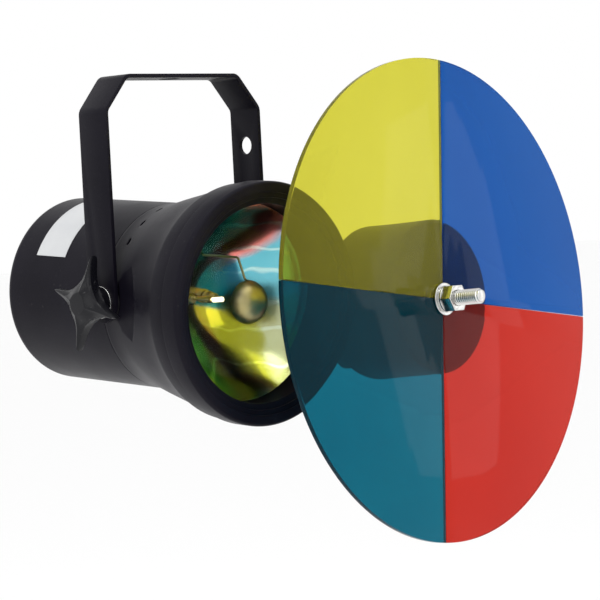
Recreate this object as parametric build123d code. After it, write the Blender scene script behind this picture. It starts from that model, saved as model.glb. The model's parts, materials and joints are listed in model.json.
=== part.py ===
"""Pinspot lamp on a strap yoke, with a motor-driven four-colour wheel.

Row frame: +Z up, the lamp shines towards -Y and the tilt axis lies along X.
The origin is the centre of the hanging hole, on the top face of the yoke.
Turned pieces are drawn about Z, with +Z towards the front, and laid over.
"""

from build123d import *
from math import acos, atan2, cos, degrees, hypot, pi, radians, sin, sqrt, tan
import os

# ---------------------------------------------------------------- yoke
strap_width = 21.0
strap_thick = 2.0
yoke_width = 103.8
hinge_drop = 113.2
corner_run = 14.0
corner_drop = 17.9
yoke_bend = 5.0
hanging_hole_r = 5.25
side_hole_r = 4.6
side_hole_below = 37.0

# ---------------------------------------------------------------- lamp body
lamp_tilt = 4.15
can_r = 47.8
sheet = 0.9
can_back = 84.9
seam_at = -4.5
seam_gap = 0.4
neck_length = 10.0
slip_fit = 0.05
crease_at = 46.5
housing_front = 62.0
snout_r = 59.4
flare_mid_at = 16.0
flare_mid_r = 51.4
pad_r = 27.0
pad_x = 48.7
back_corner = 5.0
vent_count = 8
vent_pitch = 14.9
vent_at = 5.5
vent_long = 4.2
vent_wide = 2.0

# ---------------------------------------------------------------- front ring
ring_r = 60.9
ring_front = 66.3
ring_back = 56.0
ring_sheet = 0.8
ring_mouth_r = 57.6
ring_throat_r = 49.6
ring_foot = 3.2
throat_at = 63.2
ring_screw_count = 2
ring_screw_step = 100.0
ring_screw_at = 59.0
screw_r = 1.5
screw_head_r = 2.8
screw_head_high = 1.6

# ---------------------------------------------------------------- lamp (sealed beam)
lamp_r = 55.3
rim_front = 46.3
rim_back = 40.3
mirror_r = 51.0
mirror_depth = 36.0
glass = 2.4
crown = 17.0
gasket_thick = 1.8
seat_sheet = 1.0
seat_play = 0.3
shield_r = 11.0
shield_rim_at = 51.5
shield_high = 8.5
shield_sheet = 0.6
lead_wire_r = 0.6
filament_r = 1.3
filament_long = 7.0
terminal_gap = 15.0
terminal_size = (7.0, 1.0, 12.0)

# ---------------------------------------------------------------- hinge and knobs
stud_r = 3.0
stud_play = 0.25
boss_r = 8.0
boss_high = 7.0
pad_washer = 1.2
pad_washer_r = 10.0
steel_washer = 1.2
steel_washer_r = 8.0
knob_hub_r = 8.0
knob_hub_long = 7.5
knob_r = 24.8
knob_thick = 9.0
knob_lobes = 4
knob_turn = 14.0
scallop_r = 14.5
scallop_at = 27.5
knob_edge = 1.6
far_knob_turn = 35.0

# ---------------------------------------------------------------- transformer and wiring
core_wide = 52.0
core_high = 44.0
core_stack = 22.0
core_limb = 17.0
core_at = -56.0
coil_wide = 33.0
coil_depth = 40.0
coil_high = 26.0
clamp_sheet = 1.5
clamp_high = 30.0
clamp_screw_x = 20.0
shelf_drop = 40.0
shelf_sheet = 1.2
shelf_back = -34.0
shelf_front = -15.5
block_size = (26.0, 12.0, 15.0)
block_ways = 3
gland_drop = 30.0
gland_thread_r = 6.0
gland_bore_r = 3.6
gland_collar_r = 8.5
gland_collar_high = 5.0
gland_cap_high = 9.0
gland_nut_high = 3.5
wire_r = 1.0
label_sheet = 0.25
label_from = 40.0
label_to = 63.5
label_low_angle = 155.0
label_high_angle = 104.0

# ---------------------------------------------------------------- colour wheel
disc_r = 125.0
disc_thick = 3.0
sector_gap = 0.25
disc_clock = -7.3
shaft_r = 4.0
shaft_play = 0.03
stud_proud = 25.0
washer_r = 8.4
washer_thick = 1.6
spring_washer_r = 7.0
spring_washer_thick = 2.0
nut_flats = 13.0
nut_high = 6.5
wheel_x = 103.0
wheel_ahead = 84.4
wheel_drop = 13.5
wheel_turn = 6.25
arm_tilt = 3.15

# ---------------------------------------------------------------- wheel motor
cup_r = 40.7
cup_long = 40.0
cup_gap = 8.0
cup_sheet = 0.9
cup_corner = 3.0
shaft_side = 9.7
shaft_low = 1.6
base_sheet = 1.2
bush_r = 6.5
bush_long = 9.0
arm_sheet = 2.0
arm_high = 30.0
arm_low = -22.0
arm_bend = 6.0
arm_plate_end = 30.0
arm_reach = 12.0
eye_r = 12.0
lug_r = 6.4
lug_long = 9.0
lug_angle = 238.0
lug_at_r = 31.0
lug_bore_r = 3.1

module = 0.5
pinion_teeth = 14
wheel_teeth = 56
last_teeth = 70
gear_face = 2.4
gear_step = 3.0
backlash = 0.12
pin_r = 1.0
pin_play = 0.04
gear_plate_sheet = 1.0
gear_plate_r = 38.0
first_gear_angle = 15.0
rotor_r = 11.0
rotor_long = 10.0
stator_r = 27.0
stator_long = 13.0
coil_inner_r = 13.5

os.makedirs("parts", exist_ok=True)

# ---------------------------------------------------------------- worked-out places
yoke_in = yoke_width / 2 - strap_thick
yoke_out = yoke_width / 2
HINGE = Pos(0, 0, -hinge_drop)
LAMP = HINGE * Rot(90 + lamp_tilt, 0, 0)
LAMP_SIDE = HINGE * Rot(lamp_tilt, 0, 0)
ARM = HINGE * Rot(-arm_tilt, 0, 0)
WHEEL = ARM * Pos(wheel_x, -wheel_ahead, -wheel_drop) * Rot(0, 0, wheel_turn) * Rot(90, 0, 0)

RING_TURNS = [Rot(0, 0, (index - (ring_screw_count - 1) / 2) * ring_screw_step) for index in range(ring_screw_count)]

cup_front = -cup_gap
cup_back = cup_front - cup_long
cup_x = shaft_side
cup_y = shaft_low


def save(name, *solids, place=None):
    """Write one node, made of one or more separate solids, in the row frame."""
    placed = [place * solid if place else solid for solid in solids]
    shape = placed[0] if len(placed) == 1 else Compound(children=placed)
    shape.label = name
    export_step(shape, f"parts/{name}.step")


def turned(*points):
    """Solid of revolution about Z from (radius, height) corners."""
    outline = Plane.XZ * Polyline(*points, close=True)
    return revolve(make_face(outline), Axis.Z)


def tube(outer, inner, low, high):
    """Plain ring about Z between two heights."""
    return turned((inner, low), (outer, low), (outer, high), (inner, high))


def rod(radius, low, high, x=0.0, y=0.0):
    """Round bar along Z between two heights."""
    return Pos(x, y, (low + high) / 2) * Cylinder(radius, high - low)


def cross_rod(radius, x_low, x_high, y=0.0, z=0.0):
    """Round bar along X between two places."""
    return Pos((x_low + x_high) / 2, y, z) * Rot(0, 90, 0) * Cylinder(radius, x_high - x_low)


def block(x, y, z):
    """Box between the low and high value of each direction."""
    size = (x[1] - x[0], y[1] - y[0], z[1] - z[0])
    middle = ((x[0] + x[1]) / 2, (y[0] + y[1]) / 2, (z[0] + z[1]) / 2)
    return Pos(*middle) * Box(*size)


def flat_strip(points, radii, thickness, width):
    """Bent flat bar: a path in the XY plane, given a thickness, and a width along Z."""
    path = FilletPolyline(*points, radius=radii)
    return extrude(trace(path, thickness), amount=width / 2, both=True)


def wire(points, radius, bends):
    """Insulated or bare wire along a path with rounded corners."""
    path = FilletPolyline(*points, radius=bends)
    end = Plane(origin=path @ 0, z_dir=path % 0)
    return sweep(end * Circle(radius), path=path)


# ---------------------------------------------------------------- yoke
def make_yoke():
    """Bent strap with round leg ends, hinge holes, hanging hole and side hole."""
    mid = yoke_out - strap_thick / 2
    top = -strap_thick / 2
    shoulder = -corner_drop
    points = [
        (-mid, -hinge_drop),
        (-mid, shoulder),
        (-mid + corner_run, top),
        (mid - corner_run, top),
        (mid, shoulder),
        (mid, -hinge_drop),
    ]
    strap = Rot(90, 0, 0) * flat_strip(points, yoke_bend, strap_thick, strap_width)
    for side in (-1, 1):
        low, high = sorted((side * yoke_in, side * yoke_out))
        strap += cross_rod(strap_width / 2, low, high, z=-hinge_drop)
        strap -= cross_rod(stud_r + stud_play, low - 1, high + 1, z=-hinge_drop)
    strap -= rod(hanging_hole_r, -2 * strap_thick, strap_thick)
    strap -= cross_rod(side_hole_r, yoke_in - 1, yoke_out + 1, z=-side_hole_below)
    return strap


save("yoke_strap", make_yoke())


# ---------------------------------------------------------------- lamp body shells
def flare(inset):
    """Outer line of the front housing, moved inwards by inset."""
    return Spline(
        (can_r - inset, seam_at + inset),
        (flare_mid_r - inset, flare_mid_at),
        (snout_r - inset, crease_at),
        tangents=[(0.02, 1), (0.42, 1)],
    )


def flared_solid(inset, low, high):
    """Solid of the front housing's outline, closed at two heights."""
    neck_r = can_r - sheet - slip_fit - inset
    line = flare(inset)
    corners = Polyline(
        (snout_r - inset, crease_at),
        (snout_r - inset, high),
        (0, high),
        (0, low),
        (neck_r, low),
        (neck_r, seam_at + inset),
        (can_r - inset, seam_at + inset),
    )
    body = revolve(make_face(Plane.XZ * (line + corners)), Axis.Z)
    for side in (-1, 1):
        low_x, high_x = sorted((side * (pad_x - inset), side * (can_r + 20)))
        body -= cross_rod(pad_r + inset, low_x, high_x)
    return body


def vent_cutter():
    """One rounded slot, pointing out along X at the vents' height."""
    slot = Plane.YZ * SlotOverall(vent_long, vent_wide)
    return Pos(can_r - 6, 0, vent_at) * extrude(slot, amount=14)


def make_front_housing():
    """Flared front shell with its joggled neck, vents and hinge holes."""
    neck_end = seam_at - neck_length
    shell = flared_solid(0, neck_end, housing_front)
    shell -= flared_solid(sheet, neck_end - 1, housing_front + 1)
    vents = []
    for index in range(vent_count):
        angle = 90 + (index - (vent_count - 1) / 2) * vent_pitch
        vents.append(Rot(0, 0, angle) * vent_cutter())
    shell -= vents
    shell -= cross_rod(stud_r + stud_play, -can_r - 5, can_r + 5)
    hole = Pos(0, 0, ring_screw_at) * cross_rod(screw_r, snout_r - 3, snout_r + 3)
    return shell - [turn * hole for turn in RING_TURNS]


def make_rear_can():
    """Deep drawn can with a rounded back, screw holes and the cord hole."""
    back = -can_back
    edge = seam_at - seam_gap
    can = turned((0, back), (can_r, back), (can_r, edge), (0, edge))
    can = fillet(can.edges().filter_by(GeomType.CIRCLE).group_by(Axis.Z)[0], back_corner)
    inside = turned((0, back + sheet), (can_r - sheet, back + sheet), (can_r - sheet, edge + 1), (0, edge + 1))
    inside = fillet(inside.edges().filter_by(GeomType.CIRCLE).group_by(Axis.Z)[0], back_corner - sheet)
    can -= inside
    can -= rod(gland_thread_r + slip_fit, back - 1, back + 2, y=-gland_drop)
    for side in (-1, 1):
        can -= rod(screw_r, back - 1, back + 2, x=side * clamp_screw_x)
    return can


save("front_housing", make_front_housing(), place=LAMP)
save("rear_can", make_rear_can(), place=LAMP)


def make_label():
    """Blank plate that follows the can's side."""
    low = -label_to
    high = -label_from
    band = tube(can_r + label_sheet, can_r, low, high)
    reach = 2 * can_r
    middle = (label_low_angle + label_high_angle) / 2
    half = radians((label_low_angle - label_high_angle) / 2)
    corner = reach * tan(half)
    wedge = Polyline((0, 0), (reach, -corner), (reach, corner), close=True)
    return band & Pos(0, 0, low - 1) * Rot(0, 0, middle) * extrude(make_face(wedge), amount=high - low + 2)


save("rating_label", make_label(), place=LAMP)


# ---------------------------------------------------------------- front ring
def make_front_ring():
    """Rolled front ring: outer skirt, mouth, funnel and inner tube down to the lamp."""
    tube_end = rim_front + gasket_thick
    outer = turned(
        (ring_r - ring_sheet, ring_back),
        (ring_r, ring_back),
        (ring_r, ring_front - 1.6),
        (ring_r - 1.6, ring_front),
        (ring_mouth_r, ring_front),
        (ring_throat_r, throat_at),
        (ring_throat_r, tube_end),
        (ring_throat_r + ring_foot, tube_end),
        (ring_throat_r + ring_foot, tube_end + ring_sheet),
        (ring_throat_r + ring_sheet, tube_end + ring_sheet),
        (ring_throat_r + ring_sheet, throat_at - ring_sheet),
        (ring_mouth_r + 0.5, ring_front - ring_sheet),
        (ring_r - ring_sheet - 1.0, ring_front - ring_sheet),
        (ring_r - ring_sheet, ring_front - 1.6 - ring_sheet),
    )
    hole = Pos(0, 0, ring_screw_at) * cross_rod(screw_r, ring_r - 3, ring_r + 3)
    return outer - [turn * hole for turn in RING_TURNS]


def ring_screw():
    """Pan-head screw pointing inwards through the ring's skirt and the housing."""
    head_low = sqrt(ring_r**2 - screw_head_r**2)
    head = cross_rod(screw_head_r, head_low, ring_r + screw_head_high)
    head -= rod(ring_r, ring_screw_at - 9, ring_screw_at + 9).moved(Pos(0, 0, -ring_screw_at))
    shank = cross_rod(screw_r, snout_r - 5, ring_r + screw_head_high - 0.8)
    slot = Pos(ring_r + screw_head_high, 0, 0) * Box(1.2, 0.8, 2 * screw_head_r + 1)
    return Pos(0, 0, ring_screw_at) * (head + shank - slot)


save("front_ring", make_front_ring(), place=LAMP)
save("ring_screws", *[turn * ring_screw() for turn in RING_TURNS], place=LAMP)


# ---------------------------------------------------------------- sealed-beam lamp
focus = mirror_r**2 / (4 * mirror_depth)
mirror_back = rim_front - mirror_depth


def mirror_line(offset):
    """Corners of the paraboloid, moved out by offset, from the rim to the middle."""
    steps = 9
    points = []
    for step in range(steps + 1):
        radius = mirror_r * (1 - step / steps)
        height = mirror_back + radius**2 / (4 * focus)
        slope = atan2(radius, 2 * focus)
        points.append((radius + offset * sin(slope), height - offset * cos(slope)))
    return points


def make_lamp_reflector():
    """Pressed bowl with a flanged rim and two holes for the leads."""
    inner = Spline(*mirror_line(0))
    outer_points = [p for p in mirror_line(glass) if p[1] < rim_back - 1]
    outer = Spline((mirror_r + glass, rim_back), *outer_points)
    outline = inner + outer
    outline += Polyline(outer_points[-1], mirror_line(0)[-1])
    outline += Polyline((mirror_r, rim_front), (lamp_r, rim_front), (lamp_r, rim_back), (mirror_r + glass, rim_back))
    bowl = revolve(make_face(Plane.XZ * outline), Axis.Z)
    for side in (-1, 1):
        bowl -= rod(lead_wire_r, mirror_back - 6, mirror_back + 6, x=side * terminal_gap / 2)
    return bowl


def make_lamp_lens():
    """Domed clear cover fused to the bowl's rim."""
    cap_r = (mirror_r**2 + crown**2) / (2 * crown)
    outer_middle = rim_front + crown - cap_r
    inner_cap_r = cap_r - glass
    dome = Pos(0, 0, outer_middle) * Sphere(cap_r)
    hollow = Pos(0, 0, outer_middle) * Sphere(inner_cap_r)
    dome = (dome - hollow) & rod(mirror_r + slip_fit, rim_front, rim_front + crown + 1)
    return dome


def make_filament_shield():
    """Small domed cap, open to the rear, with a clip on its top edge."""
    cap_r = (shield_r**2 + shield_high**2) / (2 * shield_high)
    middle = shield_rim_at + shield_high - cap_r
    cap = Pos(0, 0, middle) * Sphere(cap_r) - Pos(0, 0, middle) * Sphere(cap_r - shield_sheet)
    return cap & rod(shield_r + 1, shield_rim_at, shield_rim_at + shield_high + 1)


filament_at = mirror_back + focus


def make_filament_supports():
    """Two lead-in wires up to the filament and one bent wire up to the shield."""
    half = terminal_gap / 2
    low = mirror_back - 5
    pieces = []
    for side in (-1, 1):
        points = [
            (side * half, 0, low),
            (side * half, 0, filament_at - 7),
            (side * filament_long / 2, 0, filament_at - 3),
            (side * filament_long / 2, 0, filament_at - filament_r),
        ]
        pieces.append(wire(points, lead_wire_r, 0.9))
    return pieces


def make_shield_arm():
    """Bent wire that carries the shield, from its foot on the bowl to the cap's edge."""
    edge = shield_r - shield_sheet / 2
    foot_r = 22.0
    foot_z = mirror_back + (foot_r + lead_wire_r) ** 2 / (4 * focus) + slip_fit
    points = [
        (0, foot_r, foot_z),
        (0, foot_r, shield_rim_at - 8),
        (0, edge, shield_rim_at - 2.5),
        (0, edge, shield_rim_at),
    ]
    return wire(points, lead_wire_r, 2.0)


def make_terminals():
    """Two flat screw lugs behind the bowl."""
    lugs = []
    for side in (-1, 1):
        wide, thick, high = terminal_size
        x = side * terminal_gap / 2
        top = mirror_back - 5
        lug = block((x - wide / 2, x + wide / 2), (-thick / 2, thick / 2), (top - high, top))
        lugs.append(lug)
    return lugs


save("lamp_reflector", make_lamp_reflector(), place=LAMP)
save("lamp_lens", make_lamp_lens(), place=LAMP)
save("filament_shield", make_filament_shield(), place=LAMP)
save("filament", cross_rod(filament_r, -filament_long / 2 - 1, filament_long / 2 + 1, z=filament_at), place=LAMP)
save("filament_supports", *make_filament_supports(), make_shield_arm(), place=LAMP)
save("lamp_terminals", *make_terminals(), place=LAMP)
save("lamp_gasket", tube(ring_throat_r + ring_foot, mirror_r + seat_play, rim_front, rim_front + gasket_thick), place=LAMP)


def make_lamp_seat():
    """Pressed ring welded inside the snout, which the lamp's rim rests on."""
    low = rim_back - seat_sheet
    ring = tube(snout_r, mirror_r + glass + 0.5, low, rim_back)
    return ring & flared_solid(sheet, low - 1, rim_back + 1)


save("lamp_seat", make_lamp_seat(), place=LAMP)


# ---------------------------------------------------------------- hinge: bosses, washers, studs and knobs
def both_sides(low, high):
    """Low and high X of the same stretch on the near and the far side."""
    return [(-high, -low), (low, high)]


def make_hinge_bosses():
    """Two threaded weld bosses that fill the housing's inside up to its wall."""
    neck_end = seam_at - neck_length
    inside = flared_solid(sheet, neck_end, housing_front)
    bosses = []
    for low, high in both_sides(pad_x - sheet - boss_high, pad_x - sheet):
        boss = cross_rod(boss_r, low, high) & inside
        bosses.append(boss - cross_rod(stud_r + slip_fit, low - 1, high + 1))
    return bosses


def make_pad_washers():
    """Two plastic washers between the lamp body and the yoke's legs."""
    washers = []
    for low, high in both_sides(pad_x, yoke_in):
        ring = cross_rod(pad_washer_r, low, high)
        washers.append(ring - cross_rod(stud_r + stud_play, low - 1, high + 1))
    return washers


def make_knob(face, turn):
    """Cross-shaped moulded knob along +X with a round hub, from a face outwards."""
    star = Circle(knob_r)
    for lobe in range(knob_lobes):
        angle = (lobe + 0.5) * 360 / knob_lobes
        star -= Rot(0, 0, angle) * Pos(scallop_at, 0) * Circle(scallop_r)
    star = fillet(star.vertices(), 3.0)
    hub_end = face + knob_hub_long
    head = extrude(star, amount=knob_thick)
    head = fillet(head.edges().group_by(Axis.Z)[-1], knob_edge)
    head = Pos(hub_end, 0, 0) * Rot(0, 90, 0) * Rot(0, 0, turn) * head
    return head + cross_rod(knob_hub_r, face, hub_end)


def make_stud(face, inside):
    """Threaded stud moulded into a knob, from the boss out into the knob's head."""
    return cross_rod(stud_r, inside, face + knob_hub_long + knob_thick / 2)


save("hinge_bosses", *make_hinge_bosses(), place=LAMP)
save("pad_washers", *make_pad_washers(), place=LAMP_SIDE)
MIRRORED = Plane.YZ
near_face = yoke_out + steel_washer
arm_in = yoke_out + pad_washer
arm_out = arm_in + arm_sheet
far_face = arm_out + steel_washer
stud_inside = pad_x - sheet - boss_high + 1
for side_name, face, turn in (("near", near_face, knob_turn), ("far", far_face, far_knob_turn)):
    stud = make_stud(face, stud_inside)
    knob = make_knob(face, turn) - stud
    washer = cross_rod(steel_washer_r, face - steel_washer, face) - cross_rod(stud_r + slip_fit, face - 5, face + 1)
    trio = {"knob": knob, "knob_stud": stud, "knob_washer": washer}
    for piece, solid in trio.items():
        shown = mirror(solid, about=MIRRORED) if side_name == "near" else solid
        save(f"{piece}_{side_name}", shown, place=LAMP_SIDE)


# ---------------------------------------------------------------- transformer and wiring in the can
back_inside = -can_back + sheet


def make_core():
    """Stack of E and I plates with two windows."""
    stack = (core_at - core_stack / 2, core_at + core_stack / 2)
    core = block((-core_wide / 2, core_wide / 2), (-core_high / 2, core_high / 2), stack)
    window_high = core_high - core_limb
    edge = core_limb / 2
    window_wide = (core_wide - 2 * core_limb) / 2
    for side in (-1, 1):
        low, high = sorted((side * edge, side * (edge + window_wide)))
        core -= block((low, high), (-window_high / 2, window_high / 2), (stack[0] - 1, stack[1] + 1))
    return core


def make_coil():
    """Winding on its bobbin around the middle limb."""
    stack = core_stack + 2 * slip_fit
    limb = core_limb + 2 * slip_fit
    depth = (core_at - coil_depth / 2, core_at + coil_depth / 2)
    coil = block((-coil_wide / 2, coil_wide / 2), (-coil_high / 2, coil_high / 2), depth)
    coil = fillet(coil.edges().filter_by(Axis.Y), 4.0)
    low, high = core_at - stack / 2, core_at + stack / 2
    coil -= block((-limb / 2, limb / 2), (-coil_high, coil_high), (low, high))
    return coil


def make_clamp():
    """Strap that holds the core, bent round its sides with a plate on the can's back."""
    outside = core_wide / 2 + clamp_sheet
    front = core_at + core_stack / 2
    frame = block((-outside, outside), (-clamp_high / 2, clamp_high / 2), (back_inside, front + clamp_sheet))
    inside = core_wide / 2
    frame -= block((-inside, inside), (-clamp_high, clamp_high), (back_inside + clamp_sheet, front))
    lip = inside - 4.0
    frame -= block((-lip, lip), (-clamp_high, clamp_high), (front - 1, front + 2 * clamp_sheet))
    for side in (-1, 1):
        frame -= rod(screw_r, back_inside - 1, back_inside + clamp_sheet + 1, x=side * clamp_screw_x)
    return frame


def back_screw(x, y=0.0):
    """Pan-head screw in from the can's back."""
    head = rod(screw_head_r, -can_back - screw_head_high, -can_back, x, y)
    shank = rod(screw_r, -can_back - screw_head_high / 2, back_inside + clamp_sheet + 2, x, y)
    slot = Pos(x, y, -can_back - screw_head_high) * Box(0.8, 2 * screw_head_r + 1, 1.2)
    return head + shank - slot


save("transformer_core", make_core(), place=LAMP)
save("transformer_coil", make_coil(), place=LAMP)
save("transformer_clamp", make_clamp(), place=LAMP)
save("clamp_screws", *[back_screw(side * clamp_screw_x) for side in (-1, 1)], place=LAMP)


def make_shelf():
    """Small plate welded across the bottom of the can for the terminal block."""
    plate = block((-can_r, can_r), (-shelf_drop - shelf_sheet, -shelf_drop), (shelf_back, shelf_front))
    return plate & rod(can_r - sheet, shelf_back - 1, shelf_front + 1)


def make_terminal_block():
    """Moulded block with wire entries and screw holes."""
    wide, high, deep = block_size
    middle = (shelf_back + shelf_front) / 2
    body = block((-wide / 2, wide / 2), (-shelf_drop, -shelf_drop + high), (middle - deep / 2, middle + deep / 2))
    pitch = wide / block_ways
    for way in range(block_ways):
        x = (way - (block_ways - 1) / 2) * pitch
        body -= rod(wire_r + 0.6, middle - deep, middle + deep, x=x, y=-shelf_drop + high * 0.4)
        body -= Pos(x, -shelf_drop + high, middle) * Rot(90, 0, 0) * Cylinder(1.8, high * 0.7)
    return body


def make_gland():
    """Cable gland body: collar, thread through the can's back and domed cap, bored for a cord."""
    back = -can_back
    body = rod(gland_thread_r, back - 1, back_inside + gland_nut_high + 2, y=-gland_drop)
    collar = Pos(0, -gland_drop, back - gland_collar_high) * extrude(RegularPolygon(gland_collar_r, 6), amount=gland_collar_high)
    cap = rod(gland_collar_r * 0.84, back - gland_collar_high - gland_cap_high, back - gland_collar_high, y=-gland_drop)
    cap = fillet(cap.edges().group_by(Axis.Z)[0], 2.5)
    bore = rod(gland_bore_r, back - 30, back + 20, y=-gland_drop)
    return body + collar + cap - bore


def make_gland_nut():
    """Hexagonal locknut inside the can."""
    nut = Pos(0, -gland_drop, back_inside) * extrude(RegularPolygon(gland_collar_r, 6), amount=gland_nut_high)
    return nut - rod(gland_thread_r, back_inside - 1, back_inside + gland_nut_high + 1, y=-gland_drop)


save("wiring_shelf", make_shelf(), place=LAMP)
save("terminal_block", make_terminal_block(), place=LAMP)
save("cable_gland", make_gland(), place=LAMP)
save("gland_locknut", make_gland_nut(), place=LAMP)


def make_lamp_leads():
    """Two insulated leads from the winding's sides forward to the lamp's lugs."""
    leads = []
    wide, thick, high = terminal_size
    for side in (-1, 1):
        start_z = core_at + coil_depth / 2
        x = side * terminal_gap / 2
        end_z = mirror_back - 5 - high / 2
        points = [
            (side * 10, 8, start_z),
            (side * 10, 8, start_z + 8),
            (side * 16, 12, (start_z + end_z) / 2),
            (side * 9, thick / 2 + wire_r + 6, end_z - 8),
            (x, thick / 2 + wire_r, end_z),
        ]
        leads.append(wire(points, wire_r, 3.0))
    return leads


def make_supply_leads():
    """Two insulated leads from the terminal block back to the winding."""
    leads = []
    middle = (shelf_back + shelf_front) / 2
    block_back = middle - block_size[2] / 2
    height = -shelf_drop + block_size[1] * 0.4
    for side in (-1, 1):
        x = side * block_size[0] / block_ways
        points = [
            (x, height, block_back + 3),
            (x, height, block_back - 6),
            (side * 12, -22, core_at + coil_depth / 2 + 3),
            (side * 10, -9, core_at + coil_depth / 2 + 4),
            (side * 10, -9, core_at + coil_depth / 2),
        ]
        leads.append(wire(points, wire_r, 1.6))
    return leads


save("lamp_leads", *make_lamp_leads(), place=LAMP)
save("supply_leads", *make_supply_leads(), place=LAMP)


# ---------------------------------------------------------------- wheel arm
def arm_point(x, z):
    """Place in the arm's XY plane of a point in the wheel's own XZ plane."""
    turn = radians(wheel_turn)
    return (wheel_x + x * cos(turn) + z * sin(turn), -wheel_ahead + x * sin(turn) - z * cos(turn))


arm_mid = (arm_in + arm_out) / 2
plate_mid = cup_back - arm_sheet / 2


def make_arm():
    """Bent bar from the hinge eye out to the plate behind the motor."""
    inner = arm_point(cup_x - cup_r - 1.5, plate_mid)
    outer = arm_point(cup_x + arm_plate_end, plate_mid)
    points = [(arm_mid, 0), (arm_mid, -arm_reach), inner, outer]
    bar = Pos(0, 0, arm_low + arm_high / 2) * flat_strip(points, arm_bend, arm_sheet, arm_high)
    bar += cross_rod(eye_r, arm_in, arm_out)
    bar -= cross_rod(stud_r + stud_play, arm_in - 1, arm_out + 1)
    return bar


def motor_screw(x):
    """Pan-head screw through the arm's plate into the motor's base."""
    low = cup_back - arm_sheet
    head = rod(screw_head_r, low - screw_head_high, low, x, cup_y)
    shank = rod(screw_r, low - screw_head_high / 2, cup_back + base_sheet, x, cup_y)
    slot = Pos(x, cup_y, low - screw_head_high) * Box(0.8, 2 * screw_head_r + 1, 1.2)
    return head + shank - slot


TO_ARM = Pos(wheel_x, -wheel_ahead, -wheel_drop) * Rot(0, 0, wheel_turn) * Rot(90, 0, 0)
motor_screw_x = [cup_x - 16, cup_x + 16]
arm = make_arm()
for x in motor_screw_x:
    arm -= TO_ARM * rod(screw_r, cup_back - arm_sheet - 3, cup_back + 3, x, cup_y)
save("wheel_arm", arm, place=ARM)
arm_ring = cross_rod(steel_washer_r + 1, yoke_out, arm_in) - cross_rod(stud_r + stud_play, yoke_out - 1, arm_in + 1)
save("arm_washer", arm_ring, place=ARM)
save("motor_screws", *[motor_screw(x) for x in motor_screw_x], place=WHEEL)


# ---------------------------------------------------------------- motor housing
bush_front = cup_front + 0.8


def make_cup():
    """Deep drawn cup, closed at the front, with the bush's hole."""
    cup = Pos(cup_x, cup_y, 0) * turned((0, cup_back), (cup_r, cup_back), (cup_r, cup_front), (0, cup_front))
    cup = fillet(cup.edges().filter_by(GeomType.CIRCLE).group_by(Axis.Z)[-1], cup_corner)
    inner_r = cup_r - cup_sheet
    top = cup_front - cup_sheet
    hollow = turned((0, cup_back - 1), (inner_r, cup_back - 1), (inner_r, top), (0, top))
    hollow = Pos(cup_x, cup_y, 0) * hollow
    hollow = fillet(hollow.edges().filter_by(GeomType.CIRCLE).group_by(Axis.Z)[-1], cup_corner - cup_sheet)
    return cup - hollow - rod(bush_r, top - 1, cup_front + 1)


def make_base():
    """Round plate that closes the motor cup, tapped for its screws."""
    plate = rod(cup_r - cup_sheet, cup_back, cup_back + base_sheet, cup_x, cup_y)
    for x in motor_screw_x:
        plate -= rod(screw_r, cup_back - 1, cup_back + base_sheet + 1, x, cup_y)
    lug_x, lug_y = lug_place()
    return plate - rod(lug_bore_r + 1.2, cup_back - 1, cup_back + base_sheet + 1, lug_x, lug_y)


def lug_place():
    """Centre of the motor's cord bushing on the base plate."""
    angle = radians(lug_angle)
    return cup_x + lug_at_r * cos(angle), cup_y + lug_at_r * sin(angle)


def make_bushing():
    """Moulded cord bushing that stands out behind the motor's base."""
    x, y = lug_place()
    outside = rod(lug_r, cup_back - lug_long, cup_back, x, y)
    outside = fillet(outside.edges().group_by(Axis.Z)[0], 2.0)
    neck = rod(lug_bore_r + 1.2, cup_back - 1, cup_back + base_sheet, x, y)
    return outside + neck - rod(lug_bore_r, cup_back - lug_long - 1, cup_back + base_sheet + 1, x, y)


def make_bush():
    """Flanged bearing bush for the drive shaft in the cup's front."""
    inside = tube(bush_r, shaft_r + shaft_play, bush_front - bush_long, bush_front)
    top = cup_front - cup_sheet
    return inside + tube(bush_r + 1.5, shaft_r + shaft_play, top - 1.5, top)


save("motor_cup", make_cup(), place=WHEEL)
save("motor_base", make_base(), place=WHEEL)
save("motor_cord_bushing", make_bushing(), place=WHEEL)
save("shaft_bush", make_bush(), place=WHEEL)

# ---------------------------------------------------------------- motor and gears
base_top = cup_back + base_sheet
stator_top = base_top + stator_long
plate_low = stator_top
plate_top = plate_low + gear_plate_sheet
layer = [plate_top + 0.6 + step * gear_step for step in range(3)]


def meet(first, first_far, second, second_far):
    """Corner of a triangle on the left of the line from first to second."""
    span = hypot(second[0] - first[0], second[1] - first[1])
    along = (first_far**2 - second_far**2 + span**2) / (2 * span)
    aside = sqrt(first_far**2 - along**2)
    ux, uy = (second[0] - first[0]) / span, (second[1] - first[1]) / span
    return first[0] + along * ux - aside * uy, first[1] + along * uy + aside * ux


stage_gap = module * (pinion_teeth + wheel_teeth) / 2
last_gap = module * (pinion_teeth + last_teeth) / 2
rotor_axis = (cup_x, cup_y)
first_axis = (
    rotor_axis[0] + stage_gap * cos(radians(first_gear_angle)),
    rotor_axis[1] + stage_gap * sin(radians(first_gear_angle)),
)
shaft_axis = (0.0, 0.0)
second_axis = meet(shaft_axis, last_gap, first_axis, stage_gap)


def heading(start, end):
    """Direction from one axis to another, in degrees."""
    return degrees(atan2(end[1] - start[1], end[0] - start[0]))


def next_phase(phase, teeth, direction, next_teeth):
    """Turn of the next gear so that its gap takes this gear's tooth."""
    share = ((direction - phase) * teeth / 360) % 1.0
    next_share = (0.5 - share) % 1.0
    return direction + 180 - next_share * 360 / next_teeth


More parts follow.
